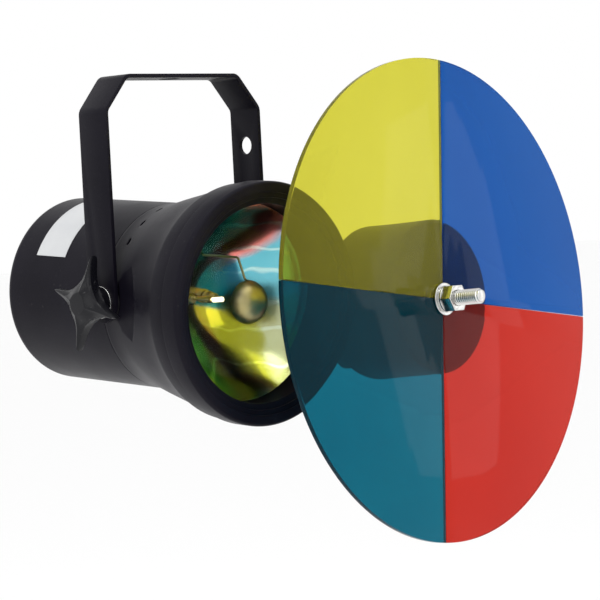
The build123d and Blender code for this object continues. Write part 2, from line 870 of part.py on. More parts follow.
def gear(teeth, phase, low, high, axis, bore):
    """Spur gear with involute flanks, thinned for backlash."""
    pitch_r = module * teeth / 2
    base_r = pitch_r * cos(radians(20))
    tip_r = pitch_r + 0.95 * module
    root_r = pitch_r - 1.25 * module
    half = pi / (2 * teeth) - backlash / (2 * pitch_r)

    def involute(radius):
        pressure = acos(min(1.0, base_r / radius))
        return tan(pressure) - pressure

    flank = []
    for radius in (root_r, max(base_r, root_r + 0.05), pitch_r, tip_r):
        flank.append((radius, half + involute(pitch_r) - involute(max(radius, base_r))))
    points = []
    for tooth in range(teeth):
        middle = radians(phase) + 2 * pi * tooth / teeth
        for radius, width in flank:
            points.append((radius * cos(middle - width), radius * sin(middle - width)))
        for radius, width in reversed(flank):
            points.append((radius * cos(middle + width), radius * sin(middle + width)))
    face = make_face(Polyline(*points, close=True)) - Circle(bore)
    return Pos(axis[0], axis[1], low) * extrude(face, amount=high - low)


phase_rotor = 0.0
phase_first = next_phase(phase_rotor, pinion_teeth, heading(rotor_axis, first_axis), wheel_teeth)
phase_first_pinion = 0.0
phase_second = next_phase(phase_first_pinion, pinion_teeth, heading(first_axis, second_axis), wheel_teeth)
phase_second_pinion = 0.0
phase_last = next_phase(phase_second_pinion, pinion_teeth, heading(second_axis, shaft_axis), last_teeth)
pin_bore = pin_r + pin_play


def make_rotor():
    """Ring magnet with its pinion."""
    low = base_top + 1.0
    magnet = rod(rotor_r, low, low + rotor_long, *rotor_axis)
    neck = rod(pinion_teeth * module / 2 - 1.25 * module, low, layer[0], *rotor_axis)
    body = magnet + neck - rod(pin_bore, low - 1, layer[0] + 1, *rotor_axis)
    return body + gear(pinion_teeth, phase_rotor, layer[0], layer[0] + gear_face, rotor_axis, pin_bore)


def compound(axis, wheel_phase, pinion_phase, low, next_low):
    """Two-step gear: large wheel below, pinion above."""
    wheel = gear(wheel_teeth, wheel_phase, low, low + gear_face, axis, pin_bore)
    pinion = gear(pinion_teeth, pinion_phase, low + gear_face, next_low + gear_face, axis, pin_bore)
    return wheel + pinion


def make_gear_plate():
    """Round plate between motor and gears, with holes for the rotor and the pins."""
    plate = rod(gear_plate_r, plate_low, plate_top, cup_x, cup_y)
    plate -= rod(pinion_teeth * module / 2 + 1.2, plate_low - 1, plate_top + 1, *rotor_axis)
    for axis in (first_axis, second_axis):
        plate -= rod(pin_r, plate_low - 1, plate_top + 1, *axis)
    return plate


def make_posts():
    """Three posts that carry the gear plate on the base."""
    post = tube(2.5, 1.2, base_top, plate_low)
    spots = [Rot(0, 0, 150 + turn * 120) * Pos(gear_plate_r - 4, 0, 0) for turn in range(3)]
    return [Pos(cup_x, cup_y, 0) * spot * post for spot in spots]


def make_gear_pins():
    """Fixed pins: one for the rotor and one for each two-step gear."""
    rotor_pin = rod(pin_r, base_top, layer[0] + gear_face + 0.3, *rotor_axis)
    first_pin = rod(pin_r, plate_low, layer[1] + gear_face + 0.3, *first_axis)
    second_pin = rod(pin_r, plate_low, layer[2] + gear_face + 0.3, *second_axis)
    return [rotor_pin, first_pin, second_pin]


def make_stator():
    """Motor can open at the front, around the winding."""
    shell = tube(stator_r, stator_r - 1, base_top, stator_top - 0.5)
    pole = tube(coil_inner_r, rotor_r + 0.6, base_top, stator_top - 2)
    return Pos(*rotor_axis, 0) * shell, Pos(*rotor_axis, 0) * pole


save("motor_stator", *make_stator(), place=WHEEL)
winding = tube(stator_r - 1, coil_inner_r, base_top, stator_top - 2)
save("motor_winding", Pos(*rotor_axis, 0) * winding, place=WHEEL)
save("gear_plate", make_gear_plate(), place=WHEEL)
save("plate_posts", *make_posts(), place=WHEEL)
save("gear_pins", *make_gear_pins(), place=WHEEL)
save("rotor", make_rotor(), place=WHEEL)
save("first_gear", compound(first_axis, phase_first, phase_first_pinion, layer[0], layer[1]), place=WHEEL)
save("second_gear", compound(second_axis, phase_second, phase_second_pinion, layer[1], layer[2]), place=WHEEL)

# ---------------------------------------------------------------- drive shaft and wheel
disc_half = disc_thick / 2
stud_end = disc_half + stud_proud
last_low = layer[2]


def make_drive_shaft():
    """Plain shaft with a reduced tail for the last gear and a threaded front end."""
    shaft = rod(shaft_r, last_low + gear_face, stud_end)
    shaft = chamfer(shaft.edges().group_by(Axis.Z)[-1], 0.8)
    return shaft + rod(shaft_r - 1, last_low, last_low + gear_face)


def hex_nut(low, high):
    """Plain hexagonal nut on the drive shaft."""
    nut = Pos(0, 0, low) * extrude(RegularPolygon(nut_flats / 2, 6, major_radius=False), amount=high - low)
    return nut - rod(shaft_r, low - 1, high + 1)


def sector(index):
    """Quarter of the coloured disc, cut back by half the joint on both edges."""
    quarter = tube(disc_r, shaft_r + slip_fit, -disc_half, disc_half)
    edge = sector_gap / 2
    corner = block((edge, disc_r + 1), (edge, disc_r + 1), (-disc_half - 1, disc_half + 1))
    return Rot(0, 0, disc_clock + index * 90) * (quarter & corner)


save("drive_shaft", make_drive_shaft(), place=WHEEL)
save("last_gear", gear(last_teeth, phase_last, last_low, last_low + gear_face, shaft_axis, shaft_r - 1), place=WHEEL)
for index, colour in enumerate(("blue", "yellow", "teal", "red")):
    save(f"sector_{colour}", sector(index), place=WHEEL)
save("rear_washer", tube(washer_r, shaft_r, -disc_half - washer_thick, -disc_half), place=WHEEL)
save("rear_nut", hex_nut(-disc_half - washer_thick - 3.4, -disc_half - washer_thick), place=WHEEL)
front_washer_top = disc_half + washer_thick
save("front_washer", tube(washer_r, shaft_r, disc_half, front_washer_top), place=WHEEL)
spring_top = front_washer_top + spring_washer_thick
spring_ring = tube(spring_washer_r, shaft_r, front_washer_top, spring_top)
split = block((shaft_r - 1, spring_washer_r + 1), (-0.5, 0.5), (front_washer_top - 1, spring_top + 1))
save("spring_washer", spring_ring - split, place=WHEEL)
save("hub_nut", hex_nut(spring_top, spring_top + nut_high), place=WHEEL)
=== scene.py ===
"""A pinspot lamp on a strap yoke, with a motor that turns a wheel of four tinted panels.

Every sub-assembly is a class. It keeps its sizes as fields, shapes its own pieces, gives them their
finishes and puts each on the body that carries it. Local sizes are in millimetres.
"""

import json
import logging
import math
from dataclasses import dataclass
from enum import Enum
from typing import Any, Iterable, Sequence

import bmesh
import bpy
from mathutils import Matrix, Vector


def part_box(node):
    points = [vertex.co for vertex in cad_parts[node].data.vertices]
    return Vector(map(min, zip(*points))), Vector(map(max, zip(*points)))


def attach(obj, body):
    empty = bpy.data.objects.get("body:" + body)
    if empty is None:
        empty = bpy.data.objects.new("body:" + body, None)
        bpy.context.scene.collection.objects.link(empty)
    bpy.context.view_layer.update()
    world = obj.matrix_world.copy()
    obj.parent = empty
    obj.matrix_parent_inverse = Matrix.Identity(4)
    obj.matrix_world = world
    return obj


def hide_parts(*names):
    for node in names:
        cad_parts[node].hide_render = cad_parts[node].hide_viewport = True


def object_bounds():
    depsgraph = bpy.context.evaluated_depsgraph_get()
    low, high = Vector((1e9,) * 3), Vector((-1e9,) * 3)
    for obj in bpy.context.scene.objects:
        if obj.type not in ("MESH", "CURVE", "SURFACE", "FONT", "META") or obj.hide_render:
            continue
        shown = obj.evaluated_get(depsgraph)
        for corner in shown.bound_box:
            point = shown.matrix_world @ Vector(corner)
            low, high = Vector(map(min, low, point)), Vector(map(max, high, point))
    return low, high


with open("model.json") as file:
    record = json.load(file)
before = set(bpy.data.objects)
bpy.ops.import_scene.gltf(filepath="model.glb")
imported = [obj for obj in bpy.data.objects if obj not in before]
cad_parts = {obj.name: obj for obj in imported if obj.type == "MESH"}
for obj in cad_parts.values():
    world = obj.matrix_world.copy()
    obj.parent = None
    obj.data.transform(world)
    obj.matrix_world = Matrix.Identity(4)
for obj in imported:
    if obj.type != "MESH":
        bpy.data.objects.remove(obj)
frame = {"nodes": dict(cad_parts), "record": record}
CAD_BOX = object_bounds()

log = logging.getLogger("pinspot")
MM = 0.001
TURN = 2 * math.pi
Colour = tuple[float, float, float]
Corner = tuple[float, float, float]


# ------------------------------------------------------------------ places
def joint_facts(name: str) -> dict[str, Any]:
    """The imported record's entry for one joint."""
    return next(joint for joint in frame["record"]["behaviour"]["joints"] if joint["name"] == name)


def mount_facts(name: str) -> dict[str, Any]:
    """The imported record's entry for one mount."""
    return next(mount for mount in frame["record"]["mounts"] if mount["name"] == name)


def axis_frame(origin: Sequence[float], axis: Vector) -> Matrix:
    """Local frame with its Z along an axis and its X as near the row's X as that allows.

    Args:
        origin: Where the local zero lies, in metres.
        axis: Direction of the local Z.

    Returns:
        The matrix from local millimetres to the row's metres.
    """
    z = axis.normalized()
    y = z.cross(Vector((1, 0, 0))).normalized()
    x = y.cross(z)
    turn = Matrix((x, y, z)).transposed().to_4x4()
    return Matrix.Translation(Vector(origin)) @ turn @ Matrix.Scale(MM, 4)


HINGE = Vector(joint_facts("head_tilt")["pos_m"])
LAMP_PLACE = axis_frame(HINGE, -Vector(mount_facts("supply_gland")["axis"]))
WHEEL_PLACE = axis_frame(joint_facts("wheel_spin")["pos_m"], Vector(joint_facts("wheel_spin")["axis"]))


# ------------------------------------------------------------------ node trees
class Wiring:
    """Short hand for adding and joining shader nodes in one tree."""

    def __init__(self, tree: bpy.types.NodeTree) -> None:
        """Keep the tree that the nodes go into."""
        self.tree = tree

    def add(self, kind: str, feeds: dict[Any, Any] | None = None, **settings: Any) -> bpy.types.Node:
        """Add a node.

        Args:
            kind: The node's type name.
            feeds: Socket name or number to a value or to another node's output.
            settings: Properties of the node itself.

        Returns:
            The new node.
        """
        node = self.tree.nodes.new(kind)
        for key, value in settings.items():
            setattr(node, key, value)
        for key, value in (feeds or {}).items():
            self.feed(node.inputs[key], value)
        return node

    def feed(self, socket: bpy.types.NodeSocket, value: Any) -> None:
        """Link an output to a socket, or set the socket's own value."""
        if isinstance(value, bpy.types.NodeSocket):
            self.tree.links.new(value, socket)
        else:
            socket.default_value = value

    def maths(self, operation: str, first: Any, second: Any) -> bpy.types.NodeSocket:
        """One sum of two values."""
        return self.add("ShaderNodeMath", {0: first, 1: second}, operation=operation).outputs[0]

    def ramped(self, value: Any, start: float, end: float, low: Any = 0.0, high: Any = 1.0) -> bpy.types.NodeSocket:
        """A value that climbs from low to high while another goes from start to end."""
        feeds = {"Value": value, "From Min": start, "From Max": end, "To Min": low, "To Max": high}
        return self.add("ShaderNodeMapRange", feeds).outputs[0]

    def blend(self, amount: Any, first: Any, second: Any) -> bpy.types.NodeSocket:
        """Colour between two colours."""
        return self.add("ShaderNodeMix", {0: amount, 6: first, 7: second}, data_type="RGBA").outputs[2]


class Group:
    """A shared node group with named inputs and outputs."""

    def __init__(self, name: str, takes: dict[str, tuple[str, Any]], gives: dict[str, str]) -> None:
        """Make the group's outside.

        Args:
            name: The group's name.
            takes: Input name to its socket type and its default.
            gives: Output name to its socket type.
        """
        self.tree = bpy.data.node_groups.new(name, "ShaderNodeTree")
        for label, (kind, default) in takes.items():
            socket = self.tree.interface.new_socket(label, in_out="INPUT", socket_type=kind)
            if default is not None:
                socket.default_value = default
        for label, kind in gives.items():
            self.tree.interface.new_socket(label, in_out="OUTPUT", socket_type=kind)
        self.wiring = Wiring(self.tree)
        self.takes = self.wiring.add("NodeGroupInput").outputs
        self.gives = self.wiring.add("NodeGroupOutput").inputs

    def place(self, wiring: Wiring, feeds: dict[str, Any]) -> bpy.types.Node:
        """Put the group into a material with its own values."""
        return wiring.add("ShaderNodeGroup", feeds, node_tree=self.tree)


FLOAT = "NodeSocketFloat"
COLOR = "NodeSocketColor"
VECTOR = "NodeSocketVector"
SPECK_SCALE = 620.0
# Painted reflection of the tinted wheel in the lamp's bowl: colour bands round the bowl's axis, pale swirls of
# painted reflection and a painted warm glow near the stems.
WHEEL_REFLECTION_STRENGTH = 0.92
SWIRL_REFLECTION_TONE = (0.75, 0.85, 0.72, 1)
STEM_GLOW_TONE = (0.85, 0.72, 0.36, 1)
STEM_GLOW_REACH = (0.012, 0.022)
WHEEL_REFLECTION_DRIFT = 0.06
WHEEL_REFLECTION_SHADES: tuple[tuple[float, Colour], ...] = (
    (0.0, (0.02, 0.12, 0.11)),
    (0.235, (0.03, 0.17, 0.12)),
    (0.262, (0.25, 0.06, 0.04)),
    (0.290, (0.28, 0.09, 0.05)),
    (0.315, (0.46, 0.48, 0.20)),
    (0.470, (0.60, 0.60, 0.34)),
    (0.500, (0.09, 0.42, 0.52)),
    (0.600, (0.06, 0.40, 0.50)),
    (0.625, (0.82, 0.17, 0.14)),
    (0.700, (0.72, 0.13, 0.11)),
    (0.725, (0.05, 0.26, 0.16)),
    (1.0, (0.02, 0.12, 0.11)),
)


def make_grain_group() -> Group:
    """Fine pebbled grain over a slow waviness, as powder coat and moulded plastic have.

    Returns:
        The group, which puts out a height and a speckle mask.
    """
    takes = {
        "Vector": (VECTOR, None),
        "Grain Scale": (FLOAT, 1500.0),
        "Wave Scale": (FLOAT, 60.0),
        "Wave": (FLOAT, 0.3),
    }
    group = Group("fine_grain", takes, {"Height": FLOAT, "Speckle": FLOAT})
    net = group.wiring
    spot = group.takes["Vector"]
    fineness = group.takes["Grain Scale"]
    cells = net.add("ShaderNodeTexVoronoi", {"Vector": spot, "Scale": fineness})
    noise = net.add("ShaderNodeTexNoise", {"Vector": spot, "Scale": fineness, "Detail": 3.0})
    waves = net.add("ShaderNodeTexNoise", {"Vector": spot, "Scale": group.takes["Wave Scale"], "Detail": 2.0})
    fine = net.maths("ADD", cells.outputs["Distance"], noise.outputs[0])
    slow = net.maths("MULTIPLY", waves.outputs[0], group.takes["Wave"])
    net.feed(group.gives["Height"], net.maths("ADD", fine, slow))
    net.feed(group.gives["Speckle"], noise.outputs[0])
    return group


def make_handling_group() -> Group:
    """Uneven gloss from handling and dust.

    Returns:
        The group, which puts out a roughness.
    """
    takes = {"Vector": (VECTOR, None), "Scale": (FLOAT, 30.0), "Low": (FLOAT, 0.3), "High": (FLOAT, 0.5)}
    group = Group("handling", takes, {"Roughness": FLOAT})
    net = group.wiring
    noise = net.add(
        "ShaderNodeTexNoise",
        {"Vector": group.takes["Vector"], "Scale": group.takes["Scale"], "Detail": 6.0, "Roughness": 0.6},
    )
    roughness = net.ramped(noise.outputs[0], 0.3, 0.7, group.takes["Low"], group.takes["High"])
    net.feed(group.gives["Roughness"], roughness)
    return group


def make_tone_group() -> Group:
    """Two tones of one colour in soft patches, with sparse lighter specks of dust.

    Returns:
        The group, which puts out a colour.
    """
    takes = {
        "Vector": (VECTOR, None),
        "Tone": (COLOR, (0.1, 0.1, 0.1, 1)),
        "Second Tone": (COLOR, (0.2, 0.2, 0.2, 1)),
        "Dust": (COLOR, (0.5, 0.5, 0.5, 1)),
        "Scale": (FLOAT, 20.0),
        "Dust Amount": (FLOAT, 0.2),
    }
    group = Group("tone", takes, {"Color": COLOR, "Mask": FLOAT})
    net = group.wiring
    spot = group.takes["Vector"]
    noise = net.add("ShaderNodeTexNoise", {"Vector": spot, "Scale": group.takes["Scale"], "Detail": 5.0})
    patches = net.ramped(noise.outputs[0], 0.35, 0.65)
    both = net.blend(patches, group.takes["Tone"], group.takes["Second Tone"])
    specks = net.add("ShaderNodeTexNoise", {"Vector": spot, "Scale": SPECK_SCALE, "Detail": 2.0})
    dots = net.ramped(specks.outputs[0], 0.68, 0.78)
    amount = net.maths("MULTIPLY", dots, group.takes["Dust Amount"])
    net.feed(group.gives["Color"], net.blend(amount, both, group.takes["Dust"]))
    net.feed(group.gives["Mask"], patches)
    return group


def make_wheel_reflection_group() -> Group:
    """Painted reflection of the tinted wheel in the bowl, its colours changing round the bowl's axis, with thin pale
    swirls of painted reflection and a painted warm glow near the stems.

    Returns:
        The group, which puts out a colour.
    """
    group = Group("painted_wheel_reflection", {"Vector": (VECTOR, None), "Tone": (COLOR, (1, 1, 1, 1))}, {"Color": COLOR})
    net = group.wiring
    parts = net.add("ShaderNodeSeparateXYZ", {0: group.takes["Vector"]}).outputs
    across = net.maths("SUBTRACT", parts[0], HINGE.x)
    over = net.maths("SUBTRACT", parts[2], HINGE.z)
    flat = net.add("ShaderNodeCombineXYZ", {0: across, 1: over}).outputs[0]
    round_axis = net.add("ShaderNodeTexGradient", {0: flat}, gradient_type="RADIAL").outputs[1]
    drift = net.add("ShaderNodeTexNoise", {"Vector": group.takes["Vector"], "Scale": 30.0, "Detail": 2.0}).outputs[0]
    wander = net.maths("MULTIPLY", net.maths("SUBTRACT", drift, 0.5), WHEEL_REFLECTION_DRIFT)
    place = net.maths("ADD", round_axis, wander)
    ramp = net.add("ShaderNodeValToRGB", {0: place})
    marks = ramp.color_ramp.elements
    while len(marks) > 1:
        marks.remove(marks[-1])
    for number, (at, shade) in enumerate(WHEEL_REFLECTION_SHADES):
        mark = marks[0] if number == 0 else marks.new(at)
        mark.position = at
        mark.color = (*shade, 1)
    swirl = net.add(
        "ShaderNodeTexWave",
        {"Vector": flat, "Scale": 22.0, "Distortion": 9.0, "Detail": 2.0, "Detail Scale": 1.2},
        wave_type="RINGS",
    ).outputs[1]
    # Painted pale swirls of reflection, then a painted warm glow near the stems.
    lined = net.blend(net.ramped(swirl, 0.94, 1.0, 0.0, 0.45), ramp.outputs[0], SWIRL_REFLECTION_TONE)
    reach = net.add("ShaderNodeVectorMath", {0: flat}, operation="LENGTH").outputs["Value"]
    warm = net.blend(net.ramped(reach, *STEM_GLOW_REACH, 0.8, 0.0), lined, STEM_GLOW_TONE)
    net.feed(group.gives["Color"], net.blend(WHEEL_REFLECTION_STRENGTH, group.takes["Tone"], warm))
    return group


WHEEL_REFLECTION = make_wheel_reflection_group()
GRAIN = make_grain_group()
HANDLING = make_handling_group()
TONE = make_tone_group()


# ------------------------------------------------------------------ finishes
GLOW_COLOUR = (1.0, 0.82, 0.5, 1)
RELIEF_DEPTH = 0.0004
BRUSH_STRETCH = (0.08, 1.0, 1.0)


class Pattern(Enum):
    """What the fine relief of a surface looks like."""

    PEBBLED = "pebbled"
    BRUSHED = "brushed"
    TURNED = "turned"
    WOUND = "wound"
    SMOOTH = "smooth"


@dataclass(frozen=True)
class Finish:
    """One finish, built once as a material. Scales are for each metre, and wave_scale is for SMOOTH only."""

    name: str
    tone: Colour
    second_tone: Colour
    gloss: tuple[float, float]
    metallic: float = 0.0
    specular: float = 0.5
    pattern: Pattern = Pattern.PEBBLED
    grain_scale: float = 1500.0
    grain_height: float = 0.05
    wave: float = 0.3
    wave_scale: float = 16.0
    tone_scale: float = 22.0
    dust: float = 0.0
    transmission: float = 0.0
    ior: float = 1.5
    glow: float = 0.0
    # Whether the base colour carries a painted reflection of the tinted wheel.
    painted_wheel_reflection: bool = False

    def relief(self, net: Wiring, spot: bpy.types.NodeSocket) -> bpy.types.NodeSocket:
        """Height of the fine relief.

        Args:
            net: The material's wiring.
            spot: Object coordinates.

        Returns:
            The height output.
        """
        if self.pattern is Pattern.BRUSHED:
            stretched = net.add("ShaderNodeMapping", {0: spot, "Scale": BRUSH_STRETCH})
            return GRAIN.place(net, self.grain_feeds(stretched.outputs[0])).outputs["Height"]
        if self.pattern is Pattern.SMOOTH:
            slow = net.add("ShaderNodeTexNoise", {"Vector": spot, "Scale": self.wave_scale, "Detail": 1.0})
            return net.maths("MULTIPLY", slow.outputs[0], self.wave)
        if self.pattern in (Pattern.TURNED, Pattern.WOUND):
            waves = net.add(
                "ShaderNodeTexWave",
                {"Vector": spot, "Scale": self.grain_scale, "Distortion": 0.4, "Detail": 1.0},
                bands_direction="Y",
            )
            return waves.outputs[1]
        return GRAIN.place(net, self.grain_feeds(spot)).outputs["Height"]

    def grain_feeds(self, spot: bpy.types.NodeSocket) -> dict[str, Any]:
        """The grain group's inputs for this finish."""
        return {"Vector": spot, "Grain Scale": self.grain_scale, "Wave": self.wave}

    def build(self) -> bpy.types.Material:
        """Make the material.

        Returns:
            The new material.
        """
        material = bpy.data.materials.new(self.name)
        material.use_nodes = True
        net = Wiring(material.node_tree)
        shader = material.node_tree.nodes["Principled BSDF"]
        spot = net.add("ShaderNodeTexCoord").outputs["Object"]
        tone = TONE.place(
            net,
            {
                "Vector": spot,
                "Tone": (*self.tone, 1),
                "Second Tone": (*self.second_tone, 1),
                "Scale": self.tone_scale,
                "Dust Amount": self.dust,
            },
        )
        handling = HANDLING.place(net, {"Vector": spot, "Low": self.gloss[0], "High": self.gloss[1]})
        bump = net.add(
            "ShaderNodeBump",
            {"Strength": self.grain_height, "Distance": RELIEF_DEPTH, "Height": self.relief(net, spot)},
        )
        color = tone.outputs["Color"]
        # Painted reflection of the tinted wheel laid over the base colour.
        if self.painted_wheel_reflection:
            color = WHEEL_REFLECTION.place(net, {"Vector": spot, "Tone": color}).outputs["Color"]
        net.feed(shader.inputs["Base Color"], color)
        net.feed(shader.inputs["Roughness"], handling.outputs["Roughness"])
        net.feed(shader.inputs["Normal"], bump.outputs["Normal"])
        shader.inputs["Metallic"].default_value = self.metallic
        shader.inputs["Specular IOR Level"].default_value = self.specular
        shader.inputs["Transmission Weight"].default_value = self.transmission
        shader.inputs["IOR"].default_value = self.ior
        if self.glow:
            shader.inputs["Emission Color"].default_value = GLOW_COLOUR
            shader.inputs["Emission Strength"].default_value = self.glow
        return material


def panel_finish(name: str, tone: Colour, second_tone: Colour) -> Finish:
    """Tinted see-through sheet that also scatters a little of its own colour."""
    return Finish(
        name, tone, second_tone, (0.02, 0.05), specular=0.5, transmission=0.90, ior=1.17, pattern=Pattern.SMOOTH,
        grain_height=0.004, wave=1.0, tone_scale=9.0,
    )


FINISHES: dict[str, Finish] = {
    "black_coat": Finish(
        "satin_powder_coat", (0.0045, 0.0038, 0.0075), (0.0080, 0.0070, 0.0118), (0.34, 0.44), specular=0.08,
        grain_height=0.10, grain_scale=1700.0, dust=0.03,
    ),
    "label_foil": Finish(
        "blank_foil", (0.66, 0.67, 0.67), (0.57, 0.58, 0.60), (0.3, 0.42), metallic=0.35, pattern=Pattern.BRUSHED,
        grain_height=0.05, dust=0.2,
    ),
    "zinc_steel": Finish(
        "zinc_plate", (0.66, 0.66, 0.64), (0.54, 0.54, 0.53), (0.14, 0.28), metallic=1.0, grain_height=0.06,
        grain_scale=1100.0, dust=0.05,
    ),
    "black_screw": Finish("black_oxide", (0.02, 0.02, 0.022), (0.035, 0.034, 0.034), (0.25, 0.4), metallic=0.6),
    # The bowl's base colour carries a painted reflection of the tinted wheel.
    "lamp_mirror": Finish(
        "aluminised_bowl", (0.95, 0.94, 0.90), (0.88, 0.88, 0.84), (0.10, 0.16), metallic=1.0, pattern=Pattern.SMOOTH,
        grain_height=0.6, wave=6.0, wave_scale=30.0, painted_wheel_reflection=True,
    ),
    "lamp_glass": Finish(
        "pressed_glass", (0.97, 0.99, 0.98), (0.93, 0.97, 0.96), (0.0, 0.02), transmission=1.0, ior=1.12,
        pattern=Pattern.SMOOTH, grain_height=0.2, wave=3.0,
    ),
    "shield_metal": Finish(
        "heat_tinted_nickel", (0.55, 0.44, 0.20), (0.38, 0.33, 0.20), (0.36, 0.5), metallic=1.0, tone_scale=70.0,
        grain_height=0.1,
    ),
    "filament_wire": Finish("warm_tungsten", (0.6, 0.52, 0.4), (0.5, 0.42, 0.3), (0.3, 0.45), metallic=1.0, glow=2.5),
    "gasket_rubber": Finish("dull_black_plastic", (0.012, 0.012, 0.013), (0.02, 0.02, 0.02), (0.5, 0.7), dust=0.3),
    "knob_plastic": Finish(
        "moulded_black", (0.004, 0.004, 0.006), (0.007, 0.007, 0.009), (0.22, 0.34), specular=0.2, grain_height=0.05,
        grain_scale=800.0, dust=0.08,
    ),
    "core_plates": Finish(
        "varnished_plates", (0.10, 0.08, 0.07), (0.16, 0.12, 0.10), (0.3, 0.5), metallic=0.7, pattern=Pattern.TURNED,
        grain_scale=320.0, grain_height=0.5,
    ),
    "winding_copper": Finish(
        "enamelled_winding", (0.48, 0.20, 0.07), (0.30, 0.11, 0.04), (0.2, 0.35), metallic=0.9, pattern=Pattern.WOUND,
        grain_scale=260.0, grain_height=0.6,
    ),
    "block_plastic": Finish("nylon_block", (0.75, 0.74, 0.68), (0.66, 0.65, 0.60), (0.35, 0.5), dust=0.2),
    "lead_cover": Finish("silicone_cover", (0.30, 0.03, 0.03), (0.22, 0.02, 0.02), (0.4, 0.55)),
    "gear_plastic": Finish("acetal", (0.80, 0.79, 0.74), (0.70, 0.69, 0.65), (0.28, 0.4)),
    "magnet": Finish("ferrite", (0.04, 0.04, 0.045), (0.07, 0.07, 0.07), (0.4, 0.6), metallic=0.3),
    "brass_turned": Finish(
        "turned_brass", (0.62, 0.42, 0.14), (0.52, 0.34, 0.11), (0.18, 0.3), metallic=1.0, pattern=Pattern.TURNED,
        grain_scale=900.0, grain_height=0.1,
    ),
    "blue_acrylic": panel_finish("blue_sheet", (0.008, 0.110, 0.43), (0.007, 0.094, 0.39)),
    "yellow_acrylic": panel_finish("yellow_sheet", (0.69, 0.65, 0.065), (0.66, 0.62, 0.05)),
    "teal_acrylic": panel_finish("teal_sheet", (0.001, 0.165, 0.240), (0.001, 0.130, 0.205)),
    "red_acrylic": panel_finish("red_sheet", (0.61, 0.030, 0.017), (0.56, 0.024, 0.014)),
}


class Paint:
    """Builds each finish once and hands out its material."""

    def __init__(self) -> None:
        """Start with no material built."""
        self.built: dict[str, bpy.types.Material] = {}

    def of(self, slot: str) -> bpy.types.Material:
        """Material of one of the record's slots."""
        if slot not in self.built:
            self.built[slot] = FINISHES[slot].build()
        return self.built[slot]

    def dress(self, piece: bpy.types.Object, slot: str) -> None:
        """Give a whole piece one finish."""
        piece.data.materials.clear()
        piece.data.materials.append(self.of(slot))
        for face in piece.data.polygons:
            face.material_index = 0


SLOTS: dict[str, str] = {part["node"]: part["material_slot"] for part in frame["record"]["subparts"]}


# ------------------------------------------------------------------ shaping
NEARLY_STRAIGHT = 1.55


def rounded(corners: Sequence[Corner], steps: int = 5) -> list[tuple[float, float]]:
    """Closed outline with each corner turned into an arc.

    Args:
        corners: (across, along, radius) of each corner, in order.
        steps: Points of an arc, less one.

    Returns:
        The outline's points.
    """
    points: list[tuple[float, float]] = []
    for index, (across, along, radius) in enumerate(corners):
        here = Vector((across, along))
        before = Vector(corners[index - 1][:2]) - here
        after = Vector(corners[(index + 1) % len(corners)][:2]) - here
        half = before.angle(after) / 2
        if radius <= 0 or half > NEARLY_STRAIGHT:
            points.append((across, along))
            continue
        reach = min(radius / math.tan(half), 0.49 * min(before.length, after.length))
        arc_radius = reach * math.tan(half)
        centre = here + (before.normalized() + after.normalized()).normalized() * (arc_radius / math.sin(half))
        start = here + before.normalized() * reach - centre
        end = here + after.normalized() * reach - centre
        first = math.atan2(start.y, start.x)
        sweep = (math.atan2(end.y, end.x) - first + math.pi) % TURN - math.pi
        for step in range(steps + 1):
            angle = first + sweep * step / steps
            points.append((centre.x + arc_radius * math.cos(angle), centre.y + arc_radius * math.sin(angle)))
    return points


